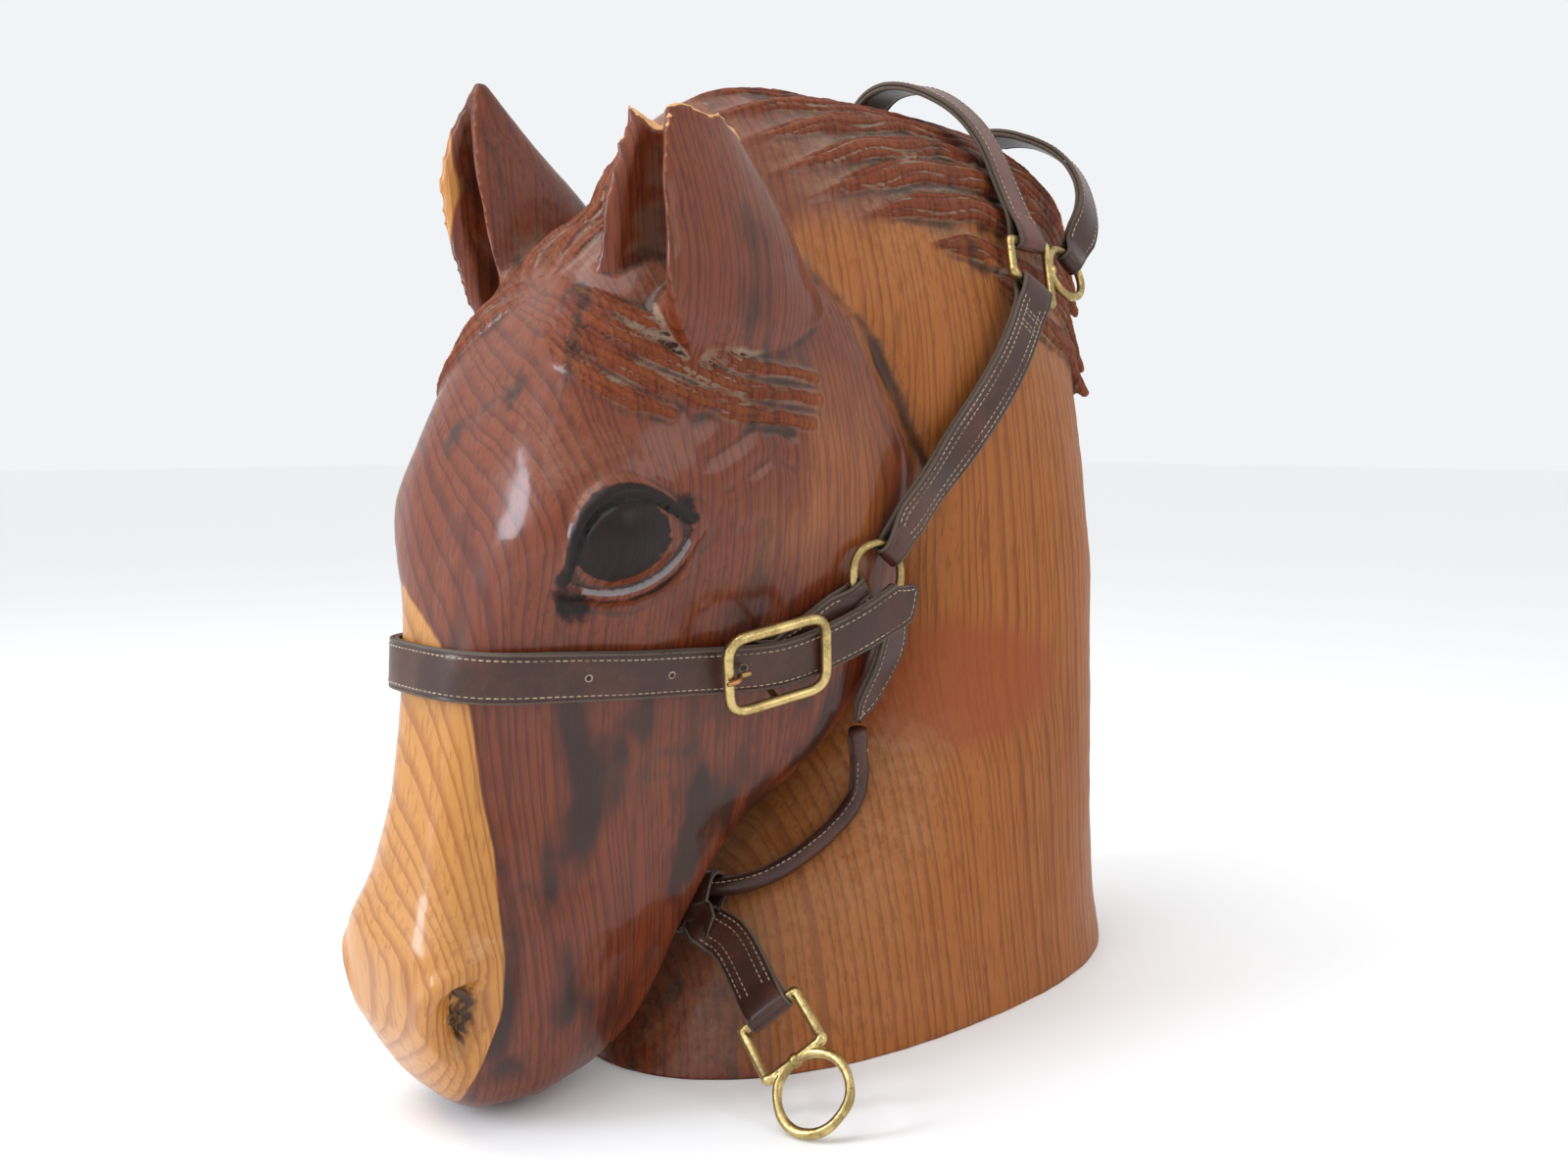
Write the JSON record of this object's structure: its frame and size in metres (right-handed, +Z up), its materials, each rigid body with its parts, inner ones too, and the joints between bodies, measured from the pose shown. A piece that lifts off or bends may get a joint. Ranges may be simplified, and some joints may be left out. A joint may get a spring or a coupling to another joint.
{
  "type": "horse head sculpture",
  "caption": "Carved wooden horse head on a flat-cut neck, an ear tip broken off, wearing a leather halter with wire rings and a buckle.",
  "frame": {"origin": "centre of the flat underside of the neck, on the surface the carving stands on", "axes": "+Z up, the face looks along -Y, the horse's left side is +X"},
  "size_m": [0.2846, 0.5491, 0.5725],
  "materials": {
    "wood": "varnished reddish heartwood with honey-coloured sapwood on the nose and at the tips of the locks",
    "leather": "dark brown halter leather, stitched near both edges, edges worn grey",
    "brass": "cast brass, aged dull gold"
  },
  "bodies": {
    "root": {"horse_head": "wood", "noseband": "leather", "left_cheek_strap": "leather", "right_cheek_strap": "leather", "left_throat_tab": "leather", "right_throat_tab": "leather", "rolled_throat_strap": "leather", "hanging_strap": "leather", "crown_strap": "leather", "rear_crown_strap": "leather", "buckle_tab": "leather", "buckle": "brass", "buckle_tongue": "brass", "left_cheek_ring": "brass", "right_cheek_ring": "brass", "left_upper_fitting": "brass", "right_upper_fitting": "brass", "lower_fitting": "brass"}
  },
  "joints": []
}
